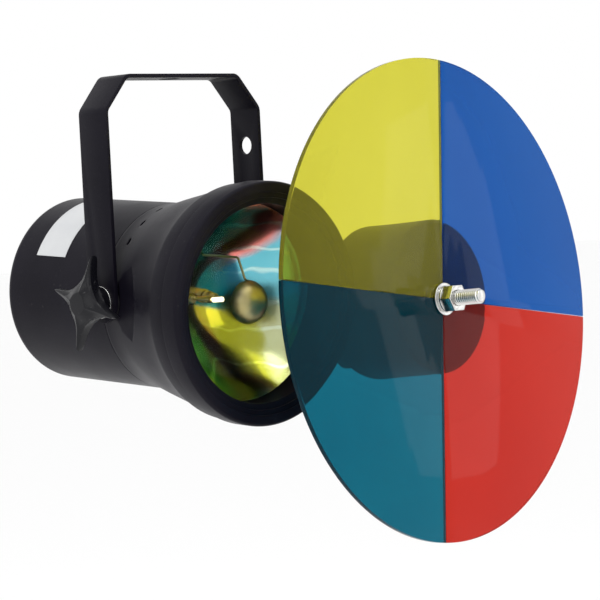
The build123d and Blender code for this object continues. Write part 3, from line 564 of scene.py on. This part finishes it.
class Workpiece:
    """One piece in the making, shaped about its own Z in millimetres."""

    def __init__(self, name: str) -> None:
        """Start an empty mesh under the piece's name."""
        self.name = name
        self.bm = bmesh.new()

    def lathe(self, outline: Iterable[tuple[float, float]], steps: int = 96) -> "Workpiece":
        """Spin a closed outline of (radius, height) points round Z.

        Args:
            outline: The points in order.
            steps: Faces round the turn.

        Returns:
            This piece.
        """
        verts = [self.bm.verts.new((radius, 0, height)) for radius, height in outline]
        edges = [self.bm.edges.new(pair) for pair in zip(verts, verts[1:] + verts[:1])]
        bmesh.ops.spin(
            self.bm, geom=verts + edges, cent=(0, 0, 0), axis=(0, 0, 1), angle=TURN, steps=steps, use_merge=True,
        )
        bmesh.ops.remove_doubles(self.bm, verts=self.bm.verts, dist=1e-4)
        return self

    def helix(
        self, outline: Iterable[tuple[float, float]], pitch: float, turns: float, steps: int = 40
    ) -> "Workpiece":
        """Spin a closed outline round Z while it climbs.

        Args:
            outline: The points of the section.
            pitch: Climb for each turn.
            turns: How many turns.
            steps: Sections in one turn.

        Returns:
            This piece.
        """
        verts = [self.bm.verts.new((radius, 0, height)) for radius, height in outline]
        face = self.bm.faces.new(verts)
        whole = round(turns * steps)
        bmesh.ops.spin(
            self.bm, geom=[face], cent=(0, 0, 0), axis=(0, 0, 1), dvec=(0, 0, pitch / steps),
            angle=turns * TURN, steps=whole,
        )
        return self

    def soften(self, radius: float, segments: int = 3, least_angle: float = 32.0) -> "Workpiece":
        """Round every edge that turns by more than an angle."""
        sharp = [
            edge for edge in self.bm.edges
            if len(edge.link_faces) == 2 and edge.calc_face_angle(0.0) > math.radians(least_angle)
        ]
        bmesh.ops.bevel(
            self.bm, geom=sharp, offset=radius, offset_type="OFFSET", segments=segments, profile=0.5,
            affect="EDGES", clamp_overlap=True, material=-1,
        )
        return self

    def done(
        self, paint: Paint, body: str, slot: str, replaced: Sequence[str], place: Matrix | None = None,
        sharp_angle: float = 38.0,
    ) -> bpy.types.Object:
        """Finish the piece: normals, place, finish, body and the nodes it stands for.

        Args:
            paint: Where the material comes from.
            body: Name of the body that carries the piece.
            slot: The record's material slot.
            replaced: CAD nodes that the piece stands for.
            place: From local millimetres to the row's metres, or None where it is there already.
            sharp_angle: Edges that turn by more stay sharp in the shading.

        Returns:
            The piece's object.
        """
        bmesh.ops.recalc_face_normals(self.bm, faces=self.bm.faces)
        if place is not None:
            bmesh.ops.transform(self.bm, matrix=place, verts=self.bm.verts)
        mesh = bpy.data.meshes.new(self.name)
        self.bm.to_mesh(mesh)
        self.bm.free()
        mesh.shade_smooth()
        mesh.set_sharp_from_angle(angle=math.radians(sharp_angle))
        piece = bpy.data.objects.new(self.name, mesh)
        bpy.context.scene.collection.objects.link(piece)
        paint.dress(piece, slot)
        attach(piece, body)
        if replaced:
            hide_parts(*replaced)
        log.info("%s: %d faces on %s", self.name, len(mesh.polygons), body)
        return piece


def softened_node(node: str, radius: float, segments: int = 3, least_angle: float = 32.0) -> Workpiece:
    """A copy of a node with its doubles merged, its flats cleaned and its edges rounded.

    Args:
        node: The node's name.
        radius: Radius of the edges, in metres.
        segments: Faces across an edge.
        least_angle: Edges that turn by less stay as they are.

    Returns:
        The workpiece, already in the row's metres.
    """
    piece = Workpiece(f"{node}_dressed")
    piece.bm.from_mesh(frame["nodes"][node].data)
    bmesh.ops.remove_doubles(piece.bm, verts=piece.bm.verts, dist=2e-6)
    bmesh.ops.dissolve_limit(
        piece.bm, angle_limit=math.radians(0.6), verts=piece.bm.verts, edges=piece.bm.edges,
        use_dissolve_boundaries=False,
    )
    return piece.soften(radius, segments, least_angle)


# ------------------------------------------------------------------ sub-assemblies
@dataclass
class Yoke:
    """Bent strap that the lamp hangs by."""

    edge_radius: float = 0.0004

    def build(self, paint: Paint) -> None:
        """Shape and dress the strap."""
        strap = softened_node("yoke_strap", self.edge_radius)
        strap.done(paint, "yoke", "black_coat", ["yoke_strap"])


@dataclass
class LampBody:
    """Rear can, front housing, its ring and the small things on them."""

    ring_r: float = 60.9
    ring_back: float = 56.0
    ring_front: float = 66.3
    lip_r: float = 57.6
    throat_r: float = 49.6
    throat_at: float = 63.2
    foot_at: float = 48.1
    foot_wide: float = 3.2
    sheet: float = 0.8
    bead: float = 0.45
    skirt_hem: float = 0.9
    press_round: float = 0.00035
    foil_round: float = 0.00008
    screw_round: float = 0.00022
    moulded_round: float = 0.0004

    def ring(self, paint: Paint) -> None:
        """Rolled ring: skirt, beaded mouth, stepped funnel and inner tube, one sheet thick."""
        skirt = self.ring_r - self.sheet
        step = (self.lip_r - self.throat_r) / 3
        rise = (self.ring_front - self.throat_at) / 3
        outside: list[Corner] = [(skirt, self.ring_back, 0.3), (self.ring_r, self.ring_back, 0.35)]
        outside += [(self.ring_r, self.ring_front, 1.7), (self.lip_r, self.ring_front, 0.7)]
        for index in (1, 2):
            across = self.lip_r - index * step
            along = self.ring_front - index * rise
            outside += [(across + self.bead, along + rise, 0.3), (across + self.bead, along, 0.3)]
        outside += [(self.throat_r, self.throat_at, 0.8), (self.throat_r, self.foot_at, 0.3)]
        outside += [(self.throat_r + self.foot_wide, self.foot_at, 0.3)]
        outside += [(self.throat_r + self.foot_wide, self.foot_at + self.sheet, 0.3)]
        outside += [(self.throat_r + self.sheet, self.foot_at + self.sheet, 0.3)]
        outside += [(self.throat_r + self.sheet, self.throat_at - self.sheet, 0.5)]
        outside += [(self.lip_r, self.ring_front - 2 * self.sheet, 0.4)]
        outside += [(skirt - self.skirt_hem, self.ring_front - 2 * self.sheet, 0.6)]
        outside += [(skirt, self.ring_front - 3 * self.sheet, 0.5)]
        piece = Workpiece("front_ring_rolled").lathe(rounded(outside), steps=144)
        piece.done(paint, "head", "black_coat", ["front_ring"], LAMP_PLACE, sharp_angle=50.0)

    def shells(self, paint: Paint) -> None:
        """The front shell with its pressed edges rounded, and the blank plate."""
        housing = softened_node("front_housing", self.press_round, 2, 24.0)
        housing.done(paint, "head", "black_coat", ["front_housing"], sharp_angle=30.0)
        label = softened_node("rating_label", self.foil_round, 2)
        label.done(paint, "head", "label_foil", ["rating_label"])

    def screws(self, paint: Paint) -> None:
        """Screws, gland and pad washers on the body, their edges rounded."""
        for node, slot in (("ring_screws", "black_screw"), ("clamp_screws", "zinc_steel")):
            softened_node(node, self.screw_round).done(paint, "head", slot, [node])
        for node in ("cable_gland", "pad_washers"):
            softened_node(node, self.moulded_round).done(paint, "head", "gasket_rubber", [node])

    def build(self, paint: Paint) -> None:
        """Shape and dress the whole body."""
        self.ring(paint)
        self.shells(paint)
        self.screws(paint)


@dataclass
class SealedLamp:
    """Mirror bowl, cover glass, filament with its stems' collars, and its shield."""

    rim_front: float = 46.3
    rim_back: float = 40.3
    rim_r: float = 55.3
    rim_round: float = 1.2
    rim_step: float = 0.5
    mirror_r: float = 51.0
    depth: float = 36.0
    crown: float = 17.0
    glass: float = 2.4
    ripple: float = 0.02
    ripple_rate: float = 1.1
    shield_r: float = 11.0
    shield_rim_at: float = 51.5
    shield_high: float = 8.5
    shield_sheet: float = 0.6
    wire_r: float = 0.25
    coil_r: float = 1.05
    coil_long: float = 7.0
    coil_turns: float = 9.0
    stem_gap: float = 7.5
    stem_bore: float = 0.65
    collar_r: float = 3.2
    collar_long: float = 7.5
    bridge_section: tuple[float, float] = (2.0, 2.2)
    bridge_below: float = 2.4

    @property
    def bottom(self) -> float:
        """Height of the bowl's middle."""
        return self.rim_front - self.depth

    @property
    def focus(self) -> float:
        """Focal length of the bowl."""
        return self.mirror_r**2 / (4 * self.depth)

    def bowl(self, paint: Paint) -> None:
        """Pressed paraboloid with its flanged rim."""
        steps = 28
        inner = []
        outer = []
        for index in range(steps + 1):
            radius = self.mirror_r * (1 - index / steps)
            height = self.bottom + radius**2 / (4 * self.focus)
            slope = math.atan2(radius, 2 * self.focus)
            inner.append((radius, height))
            outer.append((radius + self.glass * math.sin(slope), height - self.glass * math.cos(slope)))
        outer = [point for point in outer if point[1] < self.rim_back - self.rim_step]
        rim = rounded(
            [
                (self.mirror_r + self.glass, self.rim_back, 0.0),
                (self.rim_r, self.rim_back, self.rim_round),
                (self.rim_r, self.rim_front, self.rim_round),
                (self.mirror_r, self.rim_front, 0.0),
            ]
        )
        outline = rim + inner[1:] + list(reversed(outer))
        piece = Workpiece("lamp_bowl").lathe(outline, steps=128)
        piece.done(paint, "head", "lamp_mirror", ["lamp_reflector"], LAMP_PLACE, sharp_angle=50.0)

    def cap(self, name: str, radius: float, high: float, sheet: float, at: float, wave: float = 0.0) -> Workpiece:
        """Spherical cap of even thickness.

        Args:
            name: The piece's name.
            radius: Radius of the rim.
            high: Height of the crown over the rim.
            sheet: Thickness.
            at: Height of the rim.
            wave: Height of a pressed ripple that runs round the cap.

        Returns:
            The workpiece.
        """
        steps = 30
        ball = (radius**2 + high**2) / (2 * high)
        middle = at + high - ball
        outer = []
        inner = []
        for index in range(steps + 1):
            across = radius * (1 - index / steps)
            ripple = wave * math.cos(across * self.ripple_rate)
            outer.append((across, middle + math.sqrt(ball**2 - across**2) + ripple))
        for index in range(steps + 1):
            across = (radius - sheet / 2) * index / steps
            inner.append((across, middle + math.sqrt((ball - sheet) ** 2 - across**2)))
        return Workpiece(name).lathe(outer + inner, steps=96)

    def lens(self, paint: Paint) -> None:
        """Clear domed cover."""
        piece = self.cap("cover_glass", self.mirror_r, self.crown, self.glass, self.rim_front, self.ripple)
        piece.done(paint, "head", "lamp_glass", ["lamp_lens"], LAMP_PLACE, sharp_angle=60.0)

    def shield(self, paint: Paint) -> None:
        """Small dome that hides the filament, with a rolled rim."""
        piece = self.cap("shield_cap", self.shield_r, self.shield_high, self.shield_sheet, self.shield_rim_at)
        inside = self.shield_r - 0.7
        low = self.shield_rim_at - 0.3
        high = self.shield_rim_at + 0.2
        rim = [(inside, low, 0.2), (self.shield_r, low, 0.2), (self.shield_r, high, 0.2), (inside, high, 0.2)]
        piece.lathe(rounded(rim, 3), steps=64)
        piece.done(paint, "head", "shield_metal", ["filament_shield"], LAMP_PLACE, sharp_angle=60.0)

    def filament(self, paint: Paint) -> None:
        """Coiled wire between the two stems, on its side."""
        piece = Workpiece("coiled_filament")
        pitch = self.coil_long / self.coil_turns
        angles = [TURN * corner / 6 for corner in range(6)]
        section = [
            (self.coil_r + self.wire_r * math.cos(angle), self.wire_r * math.sin(angle)) for angle in angles
        ]
        piece.helix(section, pitch, self.coil_turns, steps=20)
        lay_over = (
            LAMP_PLACE
            @ Matrix.Translation((-self.coil_long / 2, 0, self.bottom + self.focus))
            @ Matrix.Rotation(math.pi / 2, 4, "Y")
        )
        piece.done(paint, "head", "filament_wire", ["filament"], lay_over, sharp_angle=80.0)

    def collars(self, paint: Paint) -> None:
        """Collars on the two stems, joined by a bridge."""
        low = self.bottom + 0.8
        outline: list[Corner] = [
            (self.stem_bore, low, 0),
            (self.collar_r, low, 0.4),
            (self.collar_r, low + 3.0, 0.5),
            (self.collar_r * 0.7, low + 4.0, 0.5),
            (self.collar_r * 0.7, low + self.collar_long, 0.6),
            (self.stem_bore, low + self.collar_long, 0),
        ]
        piece = Workpiece("stem_collars")
        for side in (-1, 1):
            before = set(piece.bm.verts)
            piece.lathe(rounded(outline), steps=32)
            fresh = [vert for vert in piece.bm.verts if vert not in before]
            bmesh.ops.translate(piece.bm, verts=fresh, vec=(side * self.stem_gap, 0, 0))
        bridge = bmesh.ops.create_cube(piece.bm, size=1.0)["verts"]
        bmesh.ops.scale(piece.bm, verts=bridge, vec=(2 * self.stem_gap - self.collar_r, *self.bridge_section))
        bmesh.ops.translate(piece.bm, verts=bridge, vec=(0, 0, low + self.collar_long - self.bridge_below))
        edges = list({edge for vert in bridge for edge in vert.link_edges})
        bmesh.ops.bevel(
            piece.bm, geom=edges, offset=0.7, offset_type="OFFSET", segments=4, profile=0.5, affect="EDGES",
            clamp_overlap=True, material=-1,
        )
        piece.done(paint, "head", "shield_metal", [], LAMP_PLACE, sharp_angle=50.0)

    def build(self, paint: Paint) -> None:
        """Shape and dress the lamp."""
        self.collars(paint)
        self.bowl(paint)
        self.lens(paint)
        self.shield(paint)
        self.filament(paint)


FAR_KNOB_TURN = 39.15


class Side(Enum):
    """Which side of the yoke a knob is on."""

    NEAR = -1
    FAR = 1


@dataclass
class StarKnob:
    """Moulded knob with four slender arms, a round hub and a domed middle."""

    side: Side
    radius: float = 24.8
    pinch: float = 0.32
    tip_round: float = 0.03
    thick: float = 6.4
    hub_r: float = 8.0
    hub_long: float = 7.5
    edge: float = 2.2
    dish: float = 1.6
    rise: float = 1.0
    turn: float = 18.15
    washer_round: float = 0.0002

    def outline_radius(self, angle: float) -> float:
        """Radius of the star at an angle, for concave sides and slender rounded tips."""

        def spread(at: float) -> float:
            """How far the outline is drawn in from the tips' circle."""
            sides = (math.cos(at), math.sin(at))
            return sum((side**2 + self.tip_round**2) ** (self.pinch / 2) for side in sides) ** (1 / self.pinch)

        return self.radius * spread(0.0) / spread(angle)

    def head(self, piece: Workpiece) -> None:
        """Star spun as a disc with round edges, then drawn in between its arms."""
        low = self.hub_long
        high = low + self.thick
        disc: list[Corner] = [
            (0, low, 0),
            (self.hub_r, low, 0),
            (self.radius * 0.62, low + 0.4, 3.0),
            (self.radius, low - self.dish, self.edge),
            (self.radius, high - 2 * self.dish, self.edge),
            (self.radius * 0.55, high - self.dish, 6.0),
            (self.hub_r * 0.8, high + self.rise, 3.0),
            (0, high + self.rise, 0),
        ]
        piece.lathe(rounded(disc, 8), steps=288)
        for vert in piece.bm.verts:
            out = vert.co.xy.length
            angle = math.atan2(vert.co.y, vert.co.x)
            wide = self.outline_radius(angle) / self.radius
            share = min(1.0, out / self.radius)
            vert.co.xy *= 1.0 + (wide - 1.0) * share

    def build(self, paint: Paint) -> None:
        """Shape and dress the knob and its washer."""
        name = self.side.name.lower()
        low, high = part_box(f"knob_{name}")
        face = high.x if self.side is Side.NEAR else low.x
        piece = Workpiece(f"star_knob_{name}")
        self.head(piece)
        top = self.hub_long + 1.5
        hub = [(0, 0, 0), (self.hub_r, 0, 0.8), (self.hub_r - 0.4, top, 0.2), (0, top, 0)]
        piece.lathe(rounded(hub), steps=48)
        out = Vector((self.side.value, 0, 0))
        tilt = Matrix.Rotation(math.radians(self.turn), 4, "X")
        lay = out.to_track_quat("Z", "Y").to_matrix().to_4x4()
        place = Matrix.Translation((face, HINGE.y, HINGE.z)) @ tilt @ lay @ Matrix.Scale(MM, 4)
        piece.done(paint, f"{name}_knob", "knob_plastic", [f"knob_{name}"], place, sharp_angle=48.0)
        washer = softened_node(f"knob_washer_{name}", self.washer_round)
        washer.done(paint, f"{name}_knob", "zinc_steel", [f"knob_washer_{name}"])


@dataclass
class WheelDrive:
    """Bent arm, motor cup, screws and cord bushing."""

    edge_radius: float = 0.0004
    rim_radius: float = 0.00025

    def build(self, paint: Paint) -> None:
        """Shape and dress everything on the arm that shows."""
        softened_node("wheel_arm", self.edge_radius).done(paint, "arm", "black_coat", ["wheel_arm"])
        softened_node("motor_cup", self.rim_radius).done(paint, "arm", "black_coat", ["motor_cup"])
        for node in ("motor_screws", "arm_washer"):
            softened_node(node, self.rim_radius).done(paint, "arm", "zinc_steel", [node])
        bushing = softened_node("motor_cord_bushing", self.rim_radius)
        bushing.done(paint, "arm", "gasket_rubber", ["motor_cord_bushing"])


@dataclass
class ColourWheel:
    """Four tinted panels clamped on a threaded shaft."""

    edge_radius: float = 0.00035
    nut_round: float = 0.00045
    washer_round: float = 0.00022
    shaft_r: float = 4.0
    shaft_front: float = 26.5
    pitch: float = 1.25
    thread_depth: float = 0.62
    thread_from: float = -6.4
    thread_sunk: float = 0.12
    tail_r: float = 3.0
    tail_long: float = 2.4
    gear_half: float = 1.2

    def panels(self, paint: Paint) -> None:
        """The four panels with polished round edges."""
        for colour in ("blue", "yellow", "teal", "red"):
            panel = softened_node(f"sector_{colour}", self.edge_radius, 3)
            panel.done(paint, "wheel", f"{colour}_acrylic", [f"sector_{colour}"])

    def shaft(self, paint: Paint) -> None:
        """Shaft with a rolled thread over its front and a chamfered end."""
        low = self.tail_low()
        root = self.shaft_r - self.thread_depth * self.pitch
        body = [
            (0, low, 0),
            (self.tail_r, low, 0.3),
            (self.tail_r, low + self.tail_long, 0),
            (self.shaft_r, low + self.tail_long, 0.3),
            (self.shaft_r, self.thread_from, 0.3),
            (root, self.thread_from + 0.5, 0),
            (root, self.shaft_front - 0.2, 0.5),
            (0, self.shaft_front, 0),
        ]
        piece = Workpiece("threaded_shaft").lathe(rounded(body), steps=64)
        crest = self.pitch / 8
        rise = self.pitch / 2 - 0.04
        top = self.shaft_r - 0.02
        foot = root - self.thread_sunk
        section = [(foot, -rise), (top, -crest / 2), (top, crest / 2), (foot, rise)]
        start = self.thread_from + 0.6
        turns = (self.shaft_front - 0.9 - start) / self.pitch
        piece.helix([(radius, start + height) for radius, height in section], self.pitch, turns)
        piece.done(paint, "wheel", "zinc_steel", ["drive_shaft"], WHEEL_PLACE, sharp_angle=50.0)

    def tail_low(self) -> float:
        """Height of the shaft's rear end, read from the last gear's place."""
        low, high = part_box("last_gear")
        middle = (low + high) / 2
        return (WHEEL_PLACE.inverted() @ middle).z - self.gear_half

    def hardware(self, paint: Paint) -> None:
        """Nuts and washers with rounded edges."""
        for node in ("hub_nut", "rear_nut"):
            softened_node(node, self.nut_round, 3, 25.0).done(paint, "wheel", "zinc_steel", [node])
        for node in ("rear_washer", "front_washer", "spring_washer"):
            softened_node(node, self.washer_round).done(paint, "wheel", "zinc_steel", [node])

    def build(self, paint: Paint) -> None:
        """Shape and dress the wheel."""
        self.panels(paint)
        self.shaft(paint)
        self.hardware(paint)


# ------------------------------------------------------------------ studio
@dataclass
class Studio:
    """Camera, plain floor and soft lights."""

    azimuth: float = -43.11
    elevation: float = 1.77
    roll: float = -3.0
    distance: float = 1382.4
    aside: float = 60.95
    below: float = 1.894
    focal: float = 162.0
    floor_below: float = 0.42
    floor_half: float = 30.0

    def camera(self) -> None:
        """Long lens level with the lamp, from its front left."""
        turn = math.radians(self.azimuth)
        rise = math.radians(self.elevation)
        back = Vector((math.sin(turn) * math.cos(rise), -math.cos(turn) * math.cos(rise), math.sin(rise)))
        right = Vector((math.cos(turn), math.sin(turn), 0))
        up = back.cross(right)
        lean = math.radians(self.roll)
        right_leant = right * math.cos(lean) + up * math.sin(lean)
        up_leant = up * math.cos(lean) - right * math.sin(lean)
        spot = HINGE + (right_leant * self.aside - up_leant * self.below + back * self.distance) * MM
        data = bpy.data.cameras.new("camera")
        data.lens = self.focal
        data.sensor_width = 36.0
        data.clip_end = 100.0
        camera = bpy.data.objects.new("camera", data)
        turned = Matrix((right_leant, up_leant, back)).transposed().to_4x4()
        camera.matrix_world = Matrix.Translation(spot) @ turned
        bpy.context.scene.collection.objects.link(camera)
        bpy.context.scene.camera = camera

    def floor(self) -> None:
        """Pale floor well below the hanging lamp."""
        mesh = bpy.data.meshes.new("floor")
        bm = bmesh.new()
        bmesh.ops.create_grid(bm, x_segments=1, y_segments=1, size=self.floor_half)
        bmesh.ops.translate(bm, verts=bm.verts, vec=(0, 0, CAD_BOX[0][2] - self.floor_below))
        bm.to_mesh(mesh)
        bm.free()
        floor = bpy.data.objects.new("floor", mesh)
        bpy.context.scene.collection.objects.link(floor)
        material = bpy.data.materials.new("pale_floor")
        material.use_nodes = True
        shader = material.node_tree.nodes["Principled BSDF"]
        shader.inputs["Base Color"].default_value = (0.97, 0.97, 0.97, 1)
        shader.inputs["Roughness"].default_value = 0.9
        mesh.materials.append(material)

    def soft_light(self, name: str, spot: Vector, size: tuple[float, float], power: float) -> None:
        """One rectangular light aimed at the lamp.

        Args:
            name: The light's name.
            spot: Where it stands, in metres from the hinge.
            size: Its width and height.
            power: Its power in watts.
        """
        data = bpy.data.lights.new(name, "AREA")
        data.shape = "RECTANGLE"
        data.size, data.size_y = size
        data.energy = power
        light = bpy.data.objects.new(name, data)
        aim = spot.to_track_quat("Z", "Y").to_matrix().to_4x4()
        light.matrix_world = Matrix.Translation(HINGE + spot) @ aim
        bpy.context.scene.collection.objects.link(light)

    def lights(self) -> None:
        """Even white surroundings, one large light above, and three round the front."""
        world = bpy.data.worlds.new("white_room")
        world.use_nodes = True
        world.node_tree.nodes["Background"].inputs["Color"].default_value = (1, 1, 1, 1)
        world.node_tree.nodes["Background"].inputs["Strength"].default_value = 1.0
        bpy.context.scene.world = world
        self.soft_light("top_light", Vector((-0.3, -0.5, 1.7)), (1.4, 1.0), 13.0)
        self.soft_light("left_light", Vector((-1.9, -0.5, 0.5)), (0.7, 1.3), 4.0)
        self.soft_light("front_light", Vector((0.5, -2.2, 0.6)), (0.9, 1.3), 6.0)
        self.soft_light("side_light", Vector((2.02, -1.22, 0.10)), (0.3, 0.9), 0.9)

    def build(self) -> None:
        """Set up the room."""
        self.camera()
        self.floor()
        self.lights()
        bpy.context.scene.view_settings.view_transform = "Standard"


def dress_kept_nodes(paint: Paint) -> None:
    """Give every CAD node that still shows its slot's finish."""
    for node, piece in frame["nodes"].items():
        if not piece.hide_render:
            paint.dress(piece, SLOTS[node])
            log.info("%s: dressed as %s", node, SLOTS[node])


def main() -> None:
    """Build the studio and every sub-assembly, then dress what is left."""
    logging.basicConfig(level=logging.INFO, format="%(name)s: %(message)s")
    paint = Paint()
    Studio().build()
    Yoke().build(paint)
    LampBody().build(paint)
    SealedLamp().build(paint)
    StarKnob(Side.NEAR).build(paint)
    StarKnob(Side.FAR, turn=FAR_KNOB_TURN).build(paint)
    WheelDrive().build(paint)
    ColourWheel().build(paint)
    dress_kept_nodes(paint)


if __name__ == "__main__":
    main()
